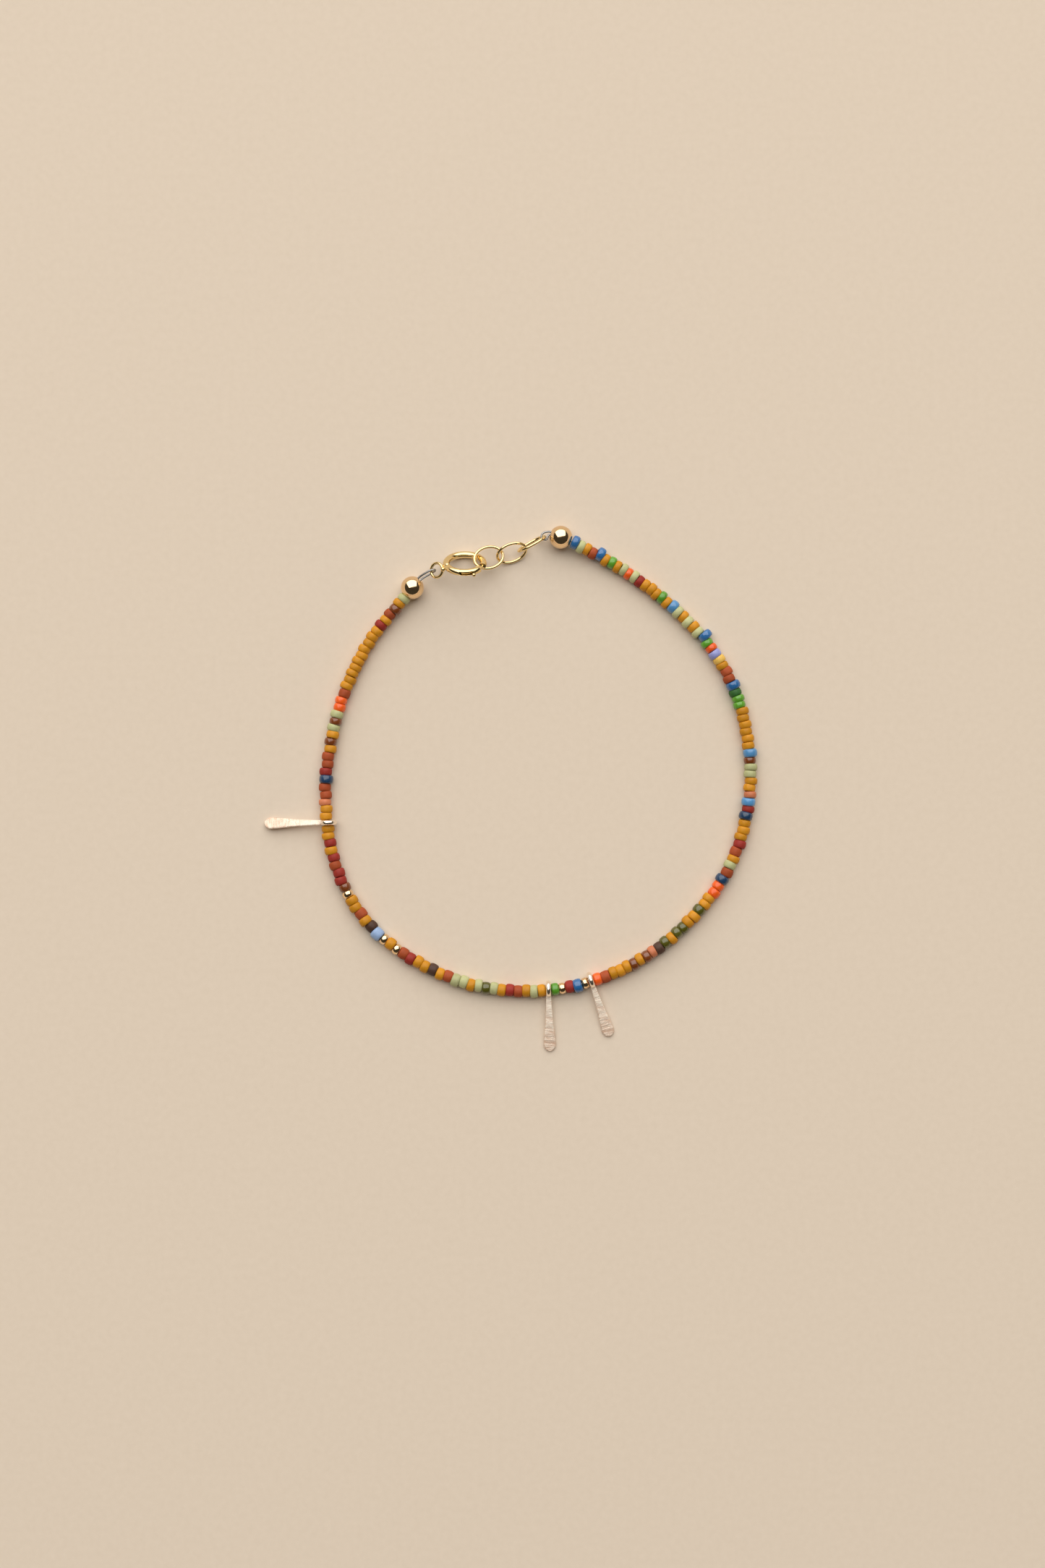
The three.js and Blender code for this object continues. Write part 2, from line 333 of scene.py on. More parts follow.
def make_piece(bm, name, node, finish, body="anklet", subdivisions=0, bevel=0.0):
    bmesh.ops.remove_doubles(bm, verts=bm.verts, dist=MERGE_DISTANCE)
    bmesh.ops.recalc_face_normals(bm, faces=bm.faces)
    bmesh.ops.scale(bm, vec=(MM, MM, MM), verts=bm.verts)
    mesh = bpy.data.meshes.new(name)
    bm.to_mesh(mesh)
    bm.free()
    mesh.shade_smooth()
    mesh.materials.append(finish)
    piece = bpy.data.objects.new(name, mesh)
    scene.collection.objects.link(piece)
    if bevel:
        rounded = piece.modifiers.new("rounded_edges", "BEVEL")
        rounded.width = bevel * MM
        rounded.segments = BEVEL_SEGMENTS
        rounded.limit_method = "ANGLE"
    if subdivisions:
        smooth = piece.modifiers.new("smooth", "SUBSURF")
        smooth.levels = subdivisions
        smooth.render_levels = subdivisions
    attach(piece, body)
    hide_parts(node)
    print(f"{name}: {len(mesh.polygons)} faces, stands for {node}")


# %% [markdown]
# The wire's way round is a list of points chosen along the string, with a smooth curve through them. To
# string beads on it we need to ask where we are after so many millimetres, so the curve is walked once
# in short steps and the distance is kept at each.

# %% The way of the string
SEED_HEIGHT = 1.1
END_HEIGHT = 2.0
ROUTE_STEPS = 40
ROUTE = [
    (-16.9, 34.65, END_HEIGHT),
    (-19.55, 31.5, 1.62),
    (-23.75, 26.3, 1.2),
    (-27.0, 20.55, 1.11),
    (-29.45, 14.6, SEED_HEIGHT),
    (-30.95, 8.3, SEED_HEIGHT),
    (-31.9, 1.95, SEED_HEIGHT),
    (-31.8, -4.6, SEED_HEIGHT),
    (-30.75, -11.2, SEED_HEIGHT),
    (-28.4, -17.65, SEED_HEIGHT),
    (-24.6, -23.2, SEED_HEIGHT),
    (-19.7, -27.7, SEED_HEIGHT),
    (-13.85, -31.1, SEED_HEIGHT),
    (-7.65, -33.6, SEED_HEIGHT),
    (-1.2, -34.75, SEED_HEIGHT),
    (5.25, -34.95, SEED_HEIGHT),
    (11.55, -33.95, SEED_HEIGHT),
    (17.6, -32.0, SEED_HEIGHT),
    (23.2, -29.1, SEED_HEIGHT),
    (28.25, -25.4, SEED_HEIGHT),
    (32.6, -21.0, SEED_HEIGHT),
    (36.45, -16.05, SEED_HEIGHT),
    (39.2, -10.4, SEED_HEIGHT),
    (40.85, -4.3, SEED_HEIGHT),
    (41.5, 1.95, SEED_HEIGHT),
    (41.05, 8.2, SEED_HEIGHT),
    (39.7, 14.35, SEED_HEIGHT),
    (37.2, 20.35, SEED_HEIGHT),
    (33.65, 25.6, SEED_HEIGHT),
    (29.2, 30.3, SEED_HEIGHT),
    (24.1, 34.6, 1.11),
    (18.55, 38.35, 1.2),
    (12.85, 41.45, 1.65),
    (10.75, 42.6, 1.9),
    (8.7, 43.35, END_HEIGHT),
]


def smooth_path(points, steps):
    """Points on the Catmull-Rom curve through the given ones."""
    given = [Vector(point) for point in points]
    given = [2 * given[0] - given[1], *given, 2 * given[-1] - given[-2]]
    path = []
    for before, start, end, after in zip(given, given[1:], given[2:], given[3:]):
        leave = (end - before) / 2
        arrive = (after - start) / 2
        for step in range(steps):
            t = step / steps
            cubic = 2 * start - 2 * end + leave + arrive
            square = 3 * (end - start) - 2 * leave - arrive
            path.append(((cubic * t + square) * t + leave) * t + start)
    return [*path, given[-2]]


class Walk:
    """A path that tells its place and direction at a distance along it."""

    def __init__(self, path):
        self.path = path
        self.distance = [0.0]
        for here, there in zip(path, path[1:]):
            self.distance.append(self.distance[-1] + (there - here).length)
        self.length = self.distance[-1]

    def at(self, distance):
        k = bisect.bisect_right(self.distance, distance) - 1
        k = min(max(k, 0), len(self.path) - 2)
        share = (distance - self.distance[k]) / (self.distance[k + 1] - self.distance[k])
        return self.path[k].lerp(self.path[k + 1], share)

    def direction(self, distance):
        reach = 0.25
        return (self.at(distance + reach) - self.at(distance - reach)).normalized()


string = Walk(smooth_path(ROUTE, ROUTE_STEPS))
print(f"the string is {string.length:.1f} mm long")


# %% [markdown]
# A rod that follows a path is made as wire is drawn: a circle is extruded from one frame to the next and
# carried along. A frame has its Z along the path, and its X and Y are scaled to the half width and half
# thickness there, so the same helper makes round wire and hammered strip.

# %% Frames and drawn wire
HAMMER_GAIN = 1.16


def frame_at(place, direction, across):
    """A matrix at a place, with Z along the direction and X as near to across as it can be."""
    z = direction.normalized()
    y = z.cross(across).normalized()
    x = y.cross(z)
    turn = Matrix((x, y, z)).transposed().to_4x4()
    return Matrix.Translation(place) @ turn


def frames_along(path, across, closed=False):
    """A frame at each point of a path, where across turns only as much as the path does."""
    count = len(path)
    frames = []
    last = None
    for k, place in enumerate(path):
        if closed:
            direction = path[(k + 1) % count] - path[k - 1]
        else:
            direction = path[min(k + 1, count - 1)] - path[max(k - 1, 0)]
        if last is not None:
            across = last.rotation_difference(direction) @ across
        last = direction
        frames.append(frame_at(place, direction, across))
    return frames


def sized(frames, half_widths, half_heights):
    sizes = zip(frames, half_widths, half_heights)
    return [frame @ Matrix.Diagonal((wide, high, 1, 1)) for frame, wide, high in sizes]


def hammer_flat(ring, frame):
    """One pass of the hammer: the points of a ring move out towards a flat top and bottom."""
    back = frame.inverted()
    for vert in ring:
        point = back @ vert.co
        point.y = max(-1.0, min(1.0, HAMMER_GAIN * point.y))
        vert.co = frame @ point


def draw_wire(bm, frames, sides, closed=False, caps=True, hammered=()):
    """Extrudes a circle from frame to frame, and closes its ends or joins them to each other."""
    circle = bmesh.ops.create_circle(bm, cap_ends=caps and not closed, segments=sides, radius=1.0)
    ring = circle["verts"]
    bmesh.ops.transform(bm, matrix=frames[0], verts=ring)
    first = edges = list({edge for vert in ring for edge in vert.link_edges})
    for k, (here, there) in enumerate(zip(frames, frames[1:])):
        made = bmesh.ops.extrude_edge_only(bm, edges=edges)["geom"]
        ring = [part for part in made if isinstance(part, bmesh.types.BMVert)]
        around = set(ring)
        edges = [
            part
            for part in made
            if isinstance(part, bmesh.types.BMEdge) and set(part.verts) <= around
        ]
        bmesh.ops.transform(bm, matrix=there @ here.inverted(), verts=ring)
        if k in hammered:
            hammer_flat(ring, there)
    if closed:
        bmesh.ops.bridge_loops(bm, edges=first + edges)
    elif caps:
        bmesh.ops.contextual_create(bm, geom=edges)
    return first, edges


def round_wire(bm, path, diameter, sides, closed=False):
    radii = [diameter / 2] * len(path)
    frames = sized(frames_along(path, UPRIGHT, closed), radii, radii)
    draw_wire(bm, frames, sides, closed)


print("wire tools ready")

# %% [markdown]
# Glass seed beads are cut from a drawn tube and tumbled hot, so each is a short barrel with soft ends
# and a hole. The barrel is a six-point profile spun about the wire, and a Subdivision modifier rounds
# it. A cage shrinks when it is subdivided, so the profile is made larger by the same share.
#
# The stringing order is read off the photograph, one letter a bead. Between the gold pieces the beads
# fill the wire, so their lengths are scaled to each stretch. A long stretch would drift, so it is pinned
# at a few measured places where a new colour begins. The gold pieces fill most of the gap at their
# seats.

# %% What is on the string
END_BEAD_DIAMETER = 4.0
END_BEAD_BORE = 1.5
SPACER_LENGTH = 1.1
SEAT_GAP = 0.17
SEAT_FILL = 0.8
SHORTEST_STRETCH = 1.0
DROP_WIRE = 0.78
SPACERS = [57.58, 67.65, 70.38, 100.55, 104.66]
PINS = [9.05, 134.35, 146.15, 165.7, 180.3, 193.7]
DROPS = [
    {"name": "drop_a", "at": 44.6, "heading": 180.8, "twist": 20, "length": 12.6},
    {"name": "drop_b", "at": 98.15, "heading": -88.5, "twist": 0, "length": 12.35},
    {"name": "drop_c", "at": 105.72, "heading": -71.2, "twist": 0, "length": 11.85},
]
STRINGING = [
    "CMBTMR",
    "MMMMMMMMMMTOOCBCMBMTTRNTTPMM",
    "MMRMRTRRB",
    "MMTMDL",
    "M",
    "TRMMDMTCCMCVCMRTMCM",
    "G",
    "RU",
    "OTMMMBMBPDVMVVMMVMMOO",
    "NTCMTRMMM",
    "NRSPMMCCBSMMMMMM",
    "GGFUTTMYAOGU",
    "CMCMCSMGMMM",
    "RCOCMGMUTMCU",
]
print("beads on the string:", sum(len(order) for order in STRINGING))


# %% Stretches between the gold pieces
def seed_stretches():
    on_string = [(at, SPACER_LENGTH / 2) for at in SPACERS]
    on_string += [(drop["at"], DROP_WIRE / 2) for drop in DROPS]
    on_string += [(at, -SEAT_GAP / 2) for at in PINS]
    end_seat = math.sqrt(END_BEAD_DIAMETER**2 - END_BEAD_BORE**2) / 2
    start = end_seat
    stretches = []
    for at, half in sorted(on_string):
        end = at - half - SEAT_GAP / 2
        if end > start + SHORTEST_STRETCH:
            stretches.append((start, end))
        start = at + half + SEAT_GAP / 2
    return [*stretches, (start, string.length - end_seat - SEAT_GAP)]


stretches = seed_stretches()
print("stretches:", [f"{start:.1f} to {end:.1f}" for start, end in stretches])

# %% [markdown]
# Each colour is a rod of glass of its own, so it has its own length and diameter, gloss and depth. Matte
# colours scatter light just below a frosted skin. The blues, greens and browns are left shiny.

# %% Glass colours
GLASS = {
    "M": {"name": "mustard", "colour": (208, 141, 4), "size": (1.29, 2.19), "gloss": 0.35},
    "T": {"name": "terracotta", "colour": (172, 77, 34), "size": (1.5, 2.1), "gloss": 0.2},
    "R": {"name": "dark_red", "colour": (154, 40, 28), "size": (1.35, 2.15), "gloss": 0.25},
    "B": {"name": "brown", "colour": (122, 58, 4), "size": (1.34, 2.15), "gloss": 0.9},
    "D": {"name": "umber", "colour": (78, 50, 36), "size": (1.41, 2.15), "gloss": 0.3},
    "O": {"name": "orange", "colour": (255, 98, 10), "size": (1.31, 2.15), "gloss": 0.7},
    "C": {"name": "celadon", "colour": (190, 192, 140), "size": (1.29, 2.25), "gloss": 0.4},
    "G": {"name": "grass_green", "colour": (92, 160, 36), "size": (1.31, 2.2), "gloss": 0.8},
    "V": {"name": "olive", "colour": (88, 86, 4), "size": (1.35, 2.2), "gloss": 0.9},
    "F": {"name": "forest_green", "colour": (52, 106, 46), "size": (1.35, 2.15), "gloss": 0.3},
    "U": {"name": "blue", "colour": (38, 108, 170), "size": (1.45, 2.46), "gloss": 0.9},
    "N": {"name": "navy", "colour": (20, 60, 98), "size": (1.45, 2.4), "gloss": 0.8},
    "L": {"name": "pale_blue", "colour": (160, 188, 230), "size": (1.62, 2.25), "gloss": 0.5},
    "S": {"name": "sky_blue", "colour": (84, 148, 202), "size": (1.42, 2.4), "gloss": 0.8},
    "A": {"name": "lavender", "colour": (146, 152, 210), "size": (1.4, 2.3), "gloss": 0.6},
    "P": {"name": "salmon", "colour": (208, 124, 84), "size": (1.21, 2.15), "gloss": 0.4},
    "Y": {"name": "butter", "colour": (244, 198, 94), "size": (1.31, 2.2), "gloss": 0.4},
}


CLOUD_SCALE = 1400.0
FROST_SCALE = 9000.0
FROST_DEPTH = 0.02
DEEP_SHARE = 0.74
PALE_GAIN = 1.12
PALE_LIFT = 0.012
SCATTER_REACH = (0.6 * MM, 0.5 * MM, 0.4 * MM)


def glass_finish(name, colour, gloss):
    """Glass between matte, where gloss is 0, and shiny, where it is 1."""
    glass = Finish(f"glass_{name}")
    place = glass.object_place()
    tone = glass.attribute("tone")
    cloud = glass.noise(place, CLOUD_SCALE)
    frost = glass.noise(place, FROST_SCALE)
    base = linear(*colour)
    deep = tuple(DEEP_SHARE * part for part in base[:3]) + (1.0,)
    pale = tuple(min(1.0, PALE_GAIN * part + PALE_LIFT) for part in base[:3]) + (1.0,)
    smooth_skin = 0.62 - 0.42 * gloss
    unevenness = 0.16 - 0.1 * gloss
    return glass.shade(
        {
            "Base Color": glass.mix(0.55 * tone + 0.45 * cloud, deep, pale),
            "Roughness": smooth_skin + unevenness * frost,
            "Specular IOR Level": 0.2 + 0.3 * gloss,
            "Subsurface Weight": 0.25,
            "Subsurface Radius": SCATTER_REACH,
            "Subsurface Scale": 0.6,
            "Coat Weight": 0.9 * gloss**2,
            "Coat Roughness": 0.06,
            "Normal": glass.bump(frost, 0.25 - 0.18 * gloss, FROST_DEPTH),
        }
    )


# %% Seed beads
BEAD_SIDES = 10
CAGE = 6 / (4 + 2 * math.cos(FULL_TURN / BEAD_SIDES))
BEAD_SEED = 11
LENGTH_SPREAD = (0.94, 1.06)
DIAMETER_SPREAD = (0.97, 1.03)
ZIGZAG = 0.13
ZIGZAG_SPREAD = (0.2, 1.0)
TILT = math.radians(5)
FLOOR_GAP = 0.02
# Shares of the radius and of half the length, from the bore round the barrel
BEAD_PROFILE = [(0.36, 0.0), (0.52, -1.14), (0.95, -1.0), (1.03, 0.0), (0.95, 1.0), (0.52, 1.14)]
# Beads that stand out of the row: the stretch, the bead's number in it, and how far it stands out
LOOSE = {"GGFUTTMYAOGU": (11, 0.55), "RCOCMGMUTMCU": (7, 0.42)}
chance = random.Random(BEAD_SEED)


def add_bead(bm, tone, length, diameter, place):
    before = set(bm.verts)
    radius = CAGE * diameter / 2
    half = length / 2
    profile = [(across * radius, along * half) for across, along in BEAD_PROFILE]
    spin_profile(bm, profile, BEAD_SIDES, closed=True)
    made = added(bm, before)
    shade = chance.random()
    for vert in made:
        vert[tone] = shade
    bmesh.ops.transform(bm, matrix=place, verts=made)


def bead_places():
    """The letter, length, diameter and frame of each bead, in stringing order."""
    for (start, end), order in zip(stretches, STRINGING):
        lengths = [GLASS[letter]["size"][0] * chance.uniform(*LENGTH_SPREAD) for letter in order]
        fill = (end - start) / sum(lengths)
        side = 1
        at = start
        loose, slack = LOOSE.get(order, (None, 0.0))
        for k, (letter, length) in enumerate(zip(order, lengths)):
            length *= fill
            centre = string.at(at + length / 2)
            direction = string.direction(at + length / 2)
            at += length
            diameter = GLASS[letter]["size"][1] * chance.uniform(*DIAMETER_SPREAD)
            outwards = direction.cross(UPRIGHT)
            side = -side
            offset = side * ZIGZAG * chance.uniform(*ZIGZAG_SPREAD)
            if k == loose:
                offset = slack
            centre = centre + outwards * offset
            centre.z = max(centre.z, diameter / 2 + FLOOR_GAP)
            lean = Matrix.Rotation(chance.uniform(-TILT, TILT), 4, "X")
            sway = Matrix.Rotation(chance.uniform(-TILT, TILT), 4, "Y")
            roll = Matrix.Rotation(chance.uniform(0, FULL_TURN), 4, "Z")
            seat = frame_at(centre, direction, UPRIGHT)
            yield letter, length, diameter, seat @ lean @ sway @ roll


strung = list(bead_places())
for letter, glass in GLASS.items():
    bm = bmesh.new()
    tone = bm.verts.layers.float.new("tone")
    for bead, length, diameter, place in strung:
        if bead == letter:
            add_bead(bm, tone, length, diameter, place)
    make_piece(
        bm,
        f"seed_beads_{glass['name']}",
        "bead_string",
        glass_finish(glass["name"], glass["colour"], glass["gloss"]),
        subdivisions=2,
    )

# %% [markdown]
# The beads are strung on a fine steel cable. Most of it is hidden, and it shows as a dark thread
# wherever two beads stand apart.

# %% Beading wire
WIRE_DIAMETER = 0.36
WIRE_STEP = 1.4
WIRE_END = 0.3
WIRE_SIDES = 8
STRAND_SCALE = 6000.0
STEEL_DARK = (0.24, 0.24, 0.245, 1)
STEEL_LIGHT = (0.5, 0.5, 0.5, 1)


def steel_finish():
    steel = Finish("steel_cable")
    strands = steel.noise(steel.object_place(), STRAND_SCALE)
    return steel.shade(
        {
            "Base Color": steel.mix(strands, STEEL_DARK, STEEL_LIGHT),
            "Metallic": 0.9,
            "Roughness": 0.3 + 0.2 * strands,
            "Normal": steel.bump(strands, 0.4, 0.03),
        }
    )


steel_wire = steel_finish()
steps = round(string.length / WIRE_STEP)
reach = string.length - 2 * WIRE_END
path = [string.at(WIRE_END + reach * k / steps) for k in range(steps + 1)]
bm = bmesh.new()
round_wire(bm, path, WIRE_DIAMETER, WIRE_SIDES)
make_piece(bm, "beading_wire", "bead_string", steel_wire)

# %% [markdown]
# The gold is gold-filled brass, polished for the beads, links and clasp. A polished metal is nearly
# all reflection, so its colour is the tint of the mirror. Slow changes of roughness and fine handling
# marks keep it from looking like plastic.

# %% Polished gold
HAZE_SCALE = 700.0
MARK_SCALE = 5000.0
MARK_DETAIL = 4.0
MARK_DEPTH = 0.02
HAZE_SHADE = 0.93


def gold_finish(name, tint, roughness):
    gold = Finish(name)
    place = gold.object_place()
    haze = gold.noise(place, HAZE_SCALE)
    marks = gold.noise(place, MARK_SCALE, MARK_DETAIL)
    hazed = tuple(HAZE_SHADE * part for part in tint[:3]) + (1.0,)
    return gold.shade(
        {
            "Base Color": gold.mix(haze, hazed, tint),
            "Metallic": 1.0,
            "Roughness": roughness + 0.08 * haze + 0.05 * marks,
            "Normal": gold.bump(marks, 0.08, MARK_DEPTH),
        }
    )


bead_gold = gold_finish("polished_gold", (0.92, 0.67, 0.4, 1), 0.05)
link_gold = gold_finish("drawn_gold", (0.9, 0.7, 0.36, 1), 0.06)

# %% [markdown]
# An end bead is a hollow gold ball with a hole through it. A sphere is opened at both poles, and the two
# openings are joined by the bore, with a small bevel where metal would be turned in.

# %% End beads
BALL_SIDES = 32
BALL_RINGS = 24
MOUTH_BEVEL = 0.08


def hollow_ball(bm, diameter, bore, place):
    bmesh.ops.create_uvsphere(bm, u_segments=BALL_SIDES, v_segments=BALL_RINGS, radius=diameter / 2)
    mouth = math.sqrt(diameter**2 - bore**2) / 2
    for side in (1, -1):
        bmesh.ops.bisect_plane(
            bm,
            geom=bm.verts[:] + bm.edges[:] + bm.faces[:],
            plane_co=(0, 0, side * mouth),
            plane_no=(0, 0, side),
            clear_outer=True,
        )
    rims = [edge for edge in bm.edges if edge.is_boundary]
    bmesh.ops.bridge_loops(bm, edges=rims)
    bmesh.ops.transform(bm, matrix=place, verts=bm.verts)


for side, distance in (("left", 0.0), ("right", string.length)):
    bm = bmesh.new()
    place = frame_at(string.at(distance), string.direction(distance), UPRIGHT)
    hollow_ball(bm, END_BEAD_DIAMETER, END_BEAD_BORE, place)
    make_piece(bm, f"gold_ball_{side}", f"end_bead_{side}", bead_gold, bevel=MOUTH_BEVEL)

# %% [markdown]
# The spacers are tiny gold barrels with a round belly. Their profile, an arc between two flat rims, is
# spun about the wire.

# %% Spacer beads
SPACER_DIAMETER = 2.0
SPACER_BORE = 1.1
BARREL_LENGTH = SPACER_LENGTH + SEAT_FILL * SEAT_GAP
SPACER_SIDES = 24
SPACER_RIM = 1.5
BELLY_STEPS = 8


def spacer_barrel(bm, place):
    half = BARREL_LENGTH / 2
    belly = SPACER_DIAMETER / 2
    bore = SPACER_BORE / 2
    rise = belly - SPACER_RIM / 2
    bend = (half**2 + rise**2) / (2 * rise)
    profile = [(bore, -half), (bore, half)]
    for k in range(BELLY_STEPS + 1):
        angle = math.asin(half / bend) * (1 - 2 * k / BELLY_STEPS)
        profile.append((belly - bend * (1 - math.cos(angle)), bend * math.sin(angle)))
    spin_profile(bm, profile, SPACER_SIDES, closed=True)
    bmesh.ops.transform(bm, matrix=place, verts=bm.verts)


for k, distance in enumerate(SPACERS):
    bm = bmesh.new()
    spacer_barrel(bm, frame_at(string.at(distance), string.direction(distance), UPRIGHT))
    make_piece(bm, f"gold_barrel_{k + 1}", f"spacer_bead_{k + 1}", bead_gold, subdivisions=1)

# %% [markdown]
# A drop starts as one piece of round wire. One end is turned into a loop over the string, and the rest
# is hammered flat, wider and thinner towards its round tip. So it is drawn like wire, along a path that
# goes round the loop and then straight down to the surface, with a width and a thickness at each frame.
# The hammer leaves shallow blows across the paddle, which are real steps in its thickness here.

# %% Hammered drops
LOOP_DIAMETER = 3.0
LOOP_SHIFT = 0.25
LOOP_WIDTH = DROP_WIRE + SEAT_FILL * SEAT_GAP
PADDLE_THICKNESS = 0.42
TIP_WIDTH = 2.2
LOOP_START = math.radians(-42)
LOOP_STEPS = 26
DROP_SIDES = 12
FLATTEN_FROM = 0.85
FLATTENED_AT_NECK = 0.5
NECK_BEND = 0.3
NECK_STEPS = 5
TWIST_STEPS = 3
PADDLE_STEP = 0.27
TIP_STEPS = 6
TIP_END = 0.12
BLOW_DEPTH = 0.03
BLOW_SEED = 3
NECK_START = 1.05
NECK_END = 1.45
# Share of the way from the neck to the round tip, and half the width there
PADDLE_EDGE = [(0.0, 0.46), (0.05, 0.48), (0.3, 0.6), (0.58, 0.75), (0.8, 0.97), (1.0, 1.1)]


def edge_width(share):
    """Half width of a paddle at a share of the way to its round tip."""
    for (start, narrow), (end, wide) in zip(PADDLE_EDGE, PADDLE_EDGE[1:]):
        if share <= end:
            return narrow + (wide - narrow) * (share - start) / (end - start)
    return PADDLE_EDGE[-1][1]


def drop_frames(length, twist, blows):
    """Frames of a drop in its own plane: X to the tip, Z up, with the loop's middle at X = 0."""
    bend = (LOOP_DIAMETER - DROP_WIRE) / 2
    rise = LOOP_DIAMETER / 2
    wire = DROP_WIRE / 2
    flat = PADDLE_THICKNESS / 2
    reach = length - rise
    tip = TIP_WIDTH / 2
    slope = math.atan((rise - flat * math.cos(twist) - tip * math.sin(twist)) / reach)
    neck_turn = math.pi / 2 - slope
    start = bend + NECK_BEND * (1 - math.cos(neck_turn))
    neck_top = rise - start * math.tan(slope) + NECK_BEND * math.sin(neck_turn)
    loop_end = math.asin((neck_top - rise) / bend) - FULL_TURN
    path = []
    sizes = []
    for k in range(LOOP_STEPS):
        share = k / LOOP_STEPS
        angle = LOOP_START + (loop_end - LOOP_START) * share
        path.append(Vector((bend * math.cos(angle), 0, rise + bend * math.sin(angle))))
        flattened = FLATTENED_AT_NECK * max(0.0, share - FLATTEN_FROM) / (1 - FLATTEN_FROM)
        sizes.append((LOOP_WIDTH / 2, wire - (wire - flat) * flattened))
    for k in range(NECK_STEPS):
        angle = neck_turn * k / NECK_STEPS
        over = NECK_BEND * (1 - math.cos(angle))
        path.append(Vector((bend + over, 0, neck_top - NECK_BEND * math.sin(angle))))
        flattened = FLATTENED_AT_NECK + (1 - FLATTENED_AT_NECK) * k / NECK_STEPS
        sizes.append((LOOP_WIDTH / 2, wire - (wire - flat) * flattened))
    round_end = reach - tip
    count = round((round_end - start) / PADDLE_STEP)
    outline = []
    for k in range(count):
        share = k / count
        outline.append((start + (round_end - start) * share, edge_width(share)))
    for k in range(TIP_STEPS + 1):
        angle = math.pi / 2 * k / TIP_STEPS
        outline.append((round_end + tip * math.sin(angle), max(TIP_END, tip * math.cos(angle))))
    for x, wide in outline:
        blow = blows.uniform(-BLOW_DEPTH, BLOW_DEPTH) if start < x < round_end else 0.0
        path.append(Vector((x, 0, rise - x * math.tan(slope))))
        sizes.append((wide, flat + blow))
    frames = []
    for k, place in enumerate(path):
        direction = path[min(k + 1, len(path) - 1)] - path[max(k - 1, 0)]
        turn = twist * max(0.0, min(1.0, (k - LOOP_STEPS - NECK_STEPS) / TWIST_STEPS))
        frames.append(frame_at(place, direction, Vector((0, math.cos(turn), math.sin(turn)))))
    return sized(frames, [wide for wide, thick in sizes], [thick for wide, thick in sizes])


BLOW_SCALE = (5.5, 0.7, 0.7)
GRAIN_SCALE = 8.0
DENT_SCALE = 1.1
DENT_DEPTH = 0.16
# The struck metal's colour paints the glints and shade of the hammer facets, and a painted reflection
# that fades towards the tip.
GLINT_GAIN = 4.6
GLINT_OFFSET = 1.25
PAINTED_REFLECTION_FALL = 0.065
ROSE_PAINTED_SHADE = (0.74, 0.5, 0.36, 1)
ROSE_TINT_AND_PAINTED_GLINT = (1.0, 0.9, 0.77, 1)


def hammered_finish():
    """Bright wire at the loop, and struck metal whose colour paints glints and shade over the hammer
    marks and darkens towards the tip as a painted fading reflection.
    """
    metal = Finish("hammered_gold_painted_glints")
    along = metal.attribute("paddle", "Vector")
    from_loop = metal.node("ShaderNodeSeparateXYZ", None, {"Vector": along}, output="X")
    struck = metal.node(
        "ShaderNodeMapRange", None, {"Value": from_loop, "From Min": NECK_START, "From Max": NECK_END}
    )
    across = metal.node("ShaderNodeMapping", None, {"Vector": along, "Scale": BLOW_SCALE})
    blows = metal.noise(across, 1.0, 3.0)
    grain = metal.noise(along, GRAIN_SCALE, 3.0)
    dents = metal.noise(along, DENT_SCALE)
    marks = 0.4 * blows + 0.4 * grain + 0.2 * dents
    relief = struck * (0.5 * blows + 0.2 * grain + 0.3 * dents)
    # Painted glints and shade from the hammer marks, and a painted reflection that fades away from the
    # loop.
    tone = GLINT_GAIN * marks - GLINT_OFFSET - PAINTED_REFLECTION_FALL * from_loop
    return metal.shade(
        {
            "Base Color": metal.mix(tone, ROSE_PAINTED_SHADE, ROSE_TINT_AND_PAINTED_GLINT),
            "Metallic": 1 - 0.6 * struck,
            "Roughness": 0.24 + struck * (0.18 + 0.24 * blows + 0.1 * grain),
            "Normal": metal.bump(relief, 1.0, DENT_DEPTH),
        }
    )


drop_metal = hammered_finish()
for k, drop in enumerate(DROPS):
    bm = bmesh.new()
    frames = drop_frames(drop["length"], math.radians(drop["twist"]), random.Random(BLOW_SEED + k))
    draw_wire(bm, frames, DROP_SIDES, hammered=range(LOOP_STEPS, LOOP_STEPS + NECK_STEPS))
    paddle = bm.verts.layers.float_vector.new("paddle")
    for vert in bm.verts:
        vert[paddle] = vert.co
    seat = string.at(drop["at"])
    place = Matrix.Translation((seat.x, seat.y, 0))
    place = place @ Matrix.Rotation(math.radians(drop["heading"]), 4, "Z")
    place = place @ Matrix.Translation((-LOOP_SHIFT, 0, 0))
    bmesh.ops.transform(bm, matrix=place, verts=bm.verts)
    make_piece(
        bm, f"hammered_{drop['name']}", drop["name"], drop_metal, subdivisions=2
    )

# %% [markdown]
# Three oval links join the clasp's ring to the right end bead. Each is one closed run of wire, tilted so
# that it passes over its neighbour on one side and under it on the other.

# %% Chain links
LINK_LENGTH = 5.7
LINK_WIDTH = 4.3
LINK_WIRE = 0.54
LINK_STEPS = 40
LINK_SIDES = 10
LINKS = [
    {"centre": (-3.75, 39.84, 1.95), "turn": 18, "pitch": 12, "roll": -7},
    {"centre": (0.22, 40.7, 1.53), "turn": 20, "pitch": 0, "roll": 42},
    {"centre": (3.66, 42.23, 2.15), "turn": 28.9, "pitch": -1.4, "roll": 104},
]


def oval(length, width, steps):
    turns = [FULL_TURN * k / steps for k in range(steps)]
    return [Vector((length / 2 * math.cos(t), width / 2 * math.sin(t), 0)) for t in turns]


def turned(centre, turn, pitch, roll):
    place = Matrix.Translation(centre) @ Matrix.Rotation(math.radians(turn), 4, "Z")
    place = place @ Matrix.Rotation(math.radians(pitch), 4, "Y")
    return place @ Matrix.Rotation(math.radians(roll), 4, "X")


